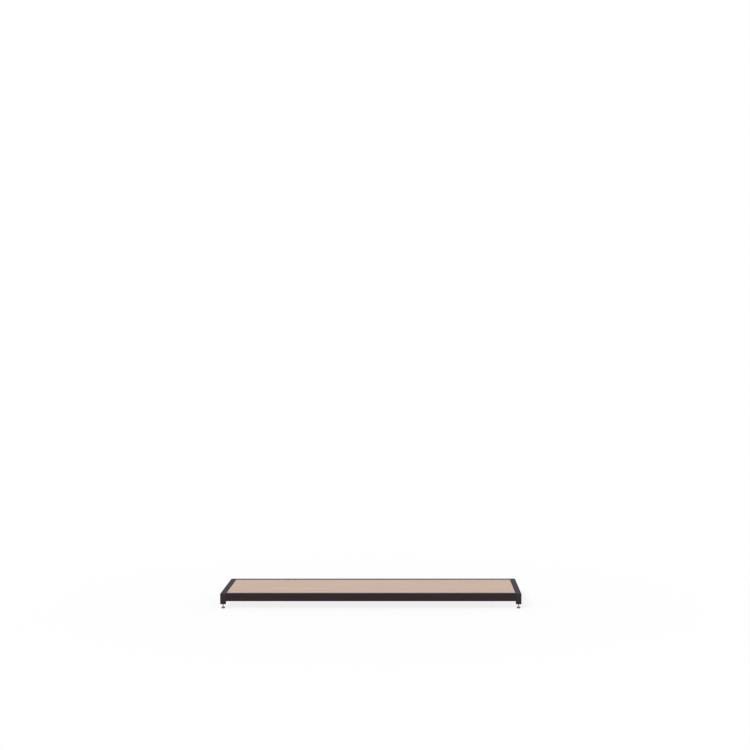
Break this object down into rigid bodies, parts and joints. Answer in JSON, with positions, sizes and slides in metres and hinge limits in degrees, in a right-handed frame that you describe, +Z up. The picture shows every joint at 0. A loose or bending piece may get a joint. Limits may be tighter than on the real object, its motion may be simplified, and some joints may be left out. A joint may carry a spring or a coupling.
{
  "type": "bike display stand",
  "caption": "Low display platform for a bicycle: a dark box-section steel frame with a beige board deck let into it, on screw feet that level it.",
  "frame": {"origin": "on the floor under the middle of the stand", "axes": "+X along the length, towards the right as seen from the front; +Y from the front to the rear; +Z up"},
  "size_m": [2.1, 0.7, 0.105],
  "materials": {
    "frame_coat": "satin",
    "deck_face": "matte",
    "bare_steel": "satin",
    "zinc_steel": "satin",
    "grey_plastic": "satin",
    "black_rubber": "matte"
  },
  "bodies": {
    "frame": {"front_rail": "frame_coat", "rear_rail": "frame_coat", "left_rail": "frame_coat", "right_rail": "frame_coat", "post_front_left": "frame_coat", "post_front_right": "frame_coat", "post_rear_left": "frame_coat", "post_rear_right": "frame_coat", "post_cap_front_left": "frame_coat", "post_cap_front_right": "frame_coat", "post_cap_rear_left": "frame_coat", "post_cap_rear_right": "frame_coat", "end_plate_front_left": "frame_coat", "end_plate_front_right": "frame_coat", "end_plate_rear_left": "frame_coat", "end_plate_rear_right": "frame_coat", "weld_nut_front_left": "bare_steel", "weld_nut_front_right": "bare_steel", "weld_nut_rear_left": "bare_steel", "weld_nut_rear_right": "bare_steel", "cross_member_1": "frame_coat", "cross_member_2": "frame_coat", "cross_member_3": "frame_coat", "ledge_front_1": "frame_coat", "ledge_front_2": "frame_coat", "ledge_front_3": "frame_coat", "ledge_front_4": "frame_coat", "ledge_rear_1": "frame_coat", "ledge_rear_2": "frame_coat", "ledge_rear_3": "frame_coat", "ledge_rear_4": "frame_coat", "ledge_left": "frame_coat", "ledge_right": "frame_coat", "deck_board": "deck_face", "deck_screw_front_1": "bare_steel", "deck_screw_front_2": "bare_steel", "deck_screw_front_3": "bare_steel", "deck_screw_front_4": "bare_steel", "deck_screw_rear_1": "bare_steel", "deck_screw_rear_2": "bare_steel", "deck_screw_rear_3": "bare_steel", "deck_screw_rear_4": "bare_steel", "deck_screw_left": "bare_steel", "deck_screw_right": "bare_steel"},
    "foot_front_left": {"foot_base_front_left": "grey_plastic", "foot_pad_front_left": "black_rubber"},
    "foot_front_right": {"foot_base_front_right": "grey_plastic", "foot_pad_front_right": "black_rubber"},
    "foot_rear_left": {"foot_base_rear_left": "grey_plastic", "foot_pad_rear_left": "black_rubber"},
    "foot_rear_right": {"foot_base_rear_right": "grey_plastic", "foot_pad_rear_right": "black_rubber"},
    "stud_front_left": {"foot_stud_front_left": "zinc_steel"},
    "stud_front_right": {"foot_stud_front_right": "zinc_steel"},
    "stud_rear_left": {"foot_stud_rear_left": "zinc_steel"},
    "stud_rear_right": {"foot_stud_rear_right": "zinc_steel"}
  },
  "joints": [
    {"name": "foot_front_left_lift", "type": "slide", "parent": "frame", "child": "foot_front_left", "axis": [0, 0, 1], "range_m": [-0.02, 0.016]},
    {"name": "foot_front_right_lift", "type": "slide", "parent": "frame", "child": "foot_front_right", "axis": [0, 0, 1], "range_m": [-0.02, 0.016]},
    {"name": "foot_rear_left_lift", "type": "slide", "parent": "frame", "child": "foot_rear_left", "axis": [0, 0, 1], "range_m": [-0.02, 0.016]},
    {"name": "foot_rear_right_lift", "type": "slide", "parent": "frame", "child": "foot_rear_right", "axis": [0, 0, 1], "range_m": [-0.02, 0.016]},
    {"name": "stud_front_left_turn", "type": "hinge", "parent": "foot_front_left", "child": "stud_front_left", "pos_m": [-1.031, -0.331, 0], "axis": [0, 0, 1], "range_deg": [-4801, 3841]},
    {"name": "stud_front_right_turn", "type": "hinge", "parent": "foot_front_right", "child": "stud_front_right", "pos_m": [1.031, -0.331, 0], "axis": [0, 0, 1], "range_deg": [-4801, 3841]},
    {"name": "stud_rear_left_turn", "type": "hinge", "parent": "foot_rear_left", "child": "stud_rear_left", "pos_m": [-1.031, 0.331, 0], "axis": [0, 0, 1], "range_deg": [-4801, 3841]},
    {"name": "stud_rear_right_turn", "type": "hinge", "parent": "foot_rear_right", "child": "stud_rear_right", "pos_m": [1.031, 0.331, 0], "axis": [0, 0, 1], "range_deg": [-4801, 3841]}
  ],
  "couplings": [
    {"joint": "stud_front_left_turn", "follows": "foot_front_left_lift", "rad_per_m": 4188.8},
    {"joint": "stud_front_right_turn", "follows": "foot_front_right_lift", "rad_per_m": 4188.8},
    {"joint": "stud_rear_left_turn", "follows": "foot_rear_left_lift", "rad_per_m": 4188.8},
    {"joint": "stud_rear_right_turn", "follows": "foot_rear_right_lift", "rad_per_m": 4188.8}
  ]
}
